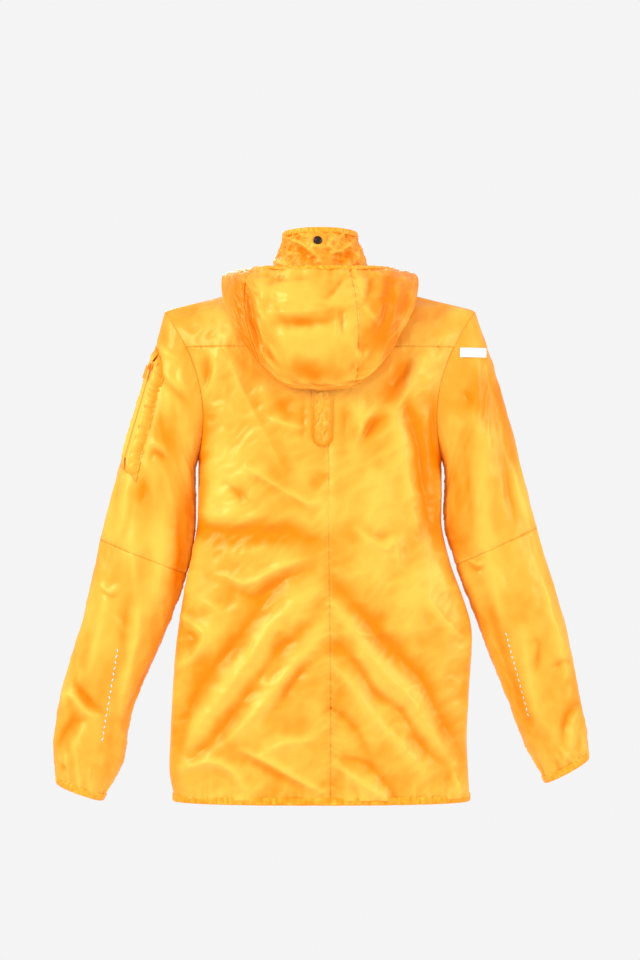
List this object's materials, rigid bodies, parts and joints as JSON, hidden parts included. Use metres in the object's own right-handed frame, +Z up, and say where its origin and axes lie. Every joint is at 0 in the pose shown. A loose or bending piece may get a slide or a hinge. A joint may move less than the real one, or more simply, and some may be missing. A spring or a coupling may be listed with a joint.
{
  "type": "hooded shell jacket",
  "caption": "Thin hooded jacket hanging from its loop, with stand collar, laid-back hood, elastic hem and cuffs, front zip and a zipped sleeve pocket.",
  "frame": {"origin": "underside of the middle of the hang loop, inside the back of the neck", "axes": "+Z up as the jacket hangs, -Y the way the wearer faces, +X towards the wearer's left"},
  "size_m": [0.6815, 0.1575, 0.7285],
  "materials": {
    "shell_nylon": "satin",
    "binding_nylon": "satin",
    "elastic_cord": "matte",
    "snap_metal": "gloss",
    "blank_label": "satin",
    "zip_tape": "satin",
    "zip_slider": "satin"
  },
  "bodies": {
    "jacket": {"back_left_panel": "shell_nylon", "back_right_panel": "shell_nylon", "front_left_panel": "shell_nylon", "front_right_panel": "shell_nylon", "front_left_chest": "shell_nylon", "front_right_chest": "shell_nylon", "back_yoke": "shell_nylon", "centre_back_seam_tape": "binding_nylon", "hem_binding": "binding_nylon", "hem_elastic": "elastic_cord", "collar_shell": "shell_nylon", "collar_facing": "shell_nylon", "collar_binding": "binding_nylon", "collar_elastic": "elastic_cord", "hang_loop": "binding_nylon", "care_label": "blank_label", "collar_snap_cap": "snap_metal", "collar_snap_socket": "snap_metal", "hood_strap": "binding_nylon", "armhole_seam_tape_left": "binding_nylon", "armhole_seam_tape_right": "binding_nylon", "front_zip_left_side": "zip_tape", "front_zip_right_side": "zip_tape", "front_zip_bottom_box": "zip_slider", "storm_flap": "shell_nylon"},
    "hood": {"hood_centre_panel": "shell_nylon", "hood_left_panel": "shell_nylon", "hood_right_panel": "shell_nylon", "hood_rim_binding": "binding_nylon", "hood_rim_elastic": "elastic_cord"},
    "left_upper_sleeve": {"upper_sleeve_left": "shell_nylon", "sleeve_zip_front_side": "zip_tape", "sleeve_zip_back_side": "zip_tape", "sleeve_pocket_bag": "shell_nylon"},
    "left_forearm": {"forearm_sleeve_left": "shell_nylon", "cuff_binding_left": "binding_nylon", "cuff_elastic_left": "elastic_cord"},
    "right_upper_sleeve": {"upper_sleeve_right": "shell_nylon", "sleeve_patch": "blank_label"},
    "right_forearm": {"forearm_sleeve_right": "shell_nylon", "cuff_binding_right": "binding_nylon", "cuff_elastic_right": "elastic_cord"},
    "front_slider": {"front_zip_slider": "zip_slider"},
    "front_puller": {"front_zip_puller": "zip_slider"},
    "sleeve_slider": {"sleeve_zip_slider": "zip_slider"},
    "sleeve_puller": {"sleeve_zip_puller": "zip_slider"}
  },
  "joints": [
    {"name": "left_shoulder", "type": "hinge", "parent": "jacket", "child": "left_upper_sleeve", "pos_m": [0.196, -0.036, -0.046], "axis": [0, -1, 0], "range_deg": [0, 50]},
    {"name": "right_shoulder", "type": "hinge", "parent": "jacket", "child": "right_upper_sleeve", "pos_m": [-0.196, -0.036, -0.046], "axis": [0, 1, 0], "range_deg": [0, 50]},
    {"name": "left_elbow", "type": "hinge", "parent": "left_upper_sleeve", "child": "left_forearm", "pos_m": [0.2235, -0.0705, -0.3575], "axis": [-0.9302, 0, -0.367], "range_deg": [0, 60]},
    {"name": "right_elbow", "type": "hinge", "parent": "right_upper_sleeve", "child": "right_forearm", "pos_m": [-0.223, -0.0705, -0.3445], "axis": [-0.9082, 0, 0.4185], "range_deg": [0, 60]},
    {"name": "hood_lift", "type": "hinge", "parent": "jacket", "child": "hood", "pos_m": [0, -0.098, -0.022], "axis": [1, 0, 0], "range_deg": [0, 12]},
    {"name": "front_zip", "type": "slide", "parent": "jacket", "child": "front_slider", "axis": [0, 0, -1], "range_m": [0, 0.64]},
    {"name": "front_puller_swing", "type": "hinge", "parent": "front_slider", "child": "front_puller", "pos_m": [0, -0.0904, 0.009], "axis": [-1, 0, 0], "range_deg": [0, 150]},
    {"name": "sleeve_zip", "type": "slide", "parent": "left_upper_sleeve", "child": "sleeve_slider", "axis": [0.2814, -0.0181, -0.9594], "range_m": [0, 0.11]},
    {"name": "sleeve_puller_swing", "type": "hinge", "parent": "sleeve_slider", "child": "sleeve_puller", "pos_m": [0.2169, -0.0076, -0.1181], "axis": [0.6591, -0.723, 0.207], "range_deg": [0, 150]}
  ]
}
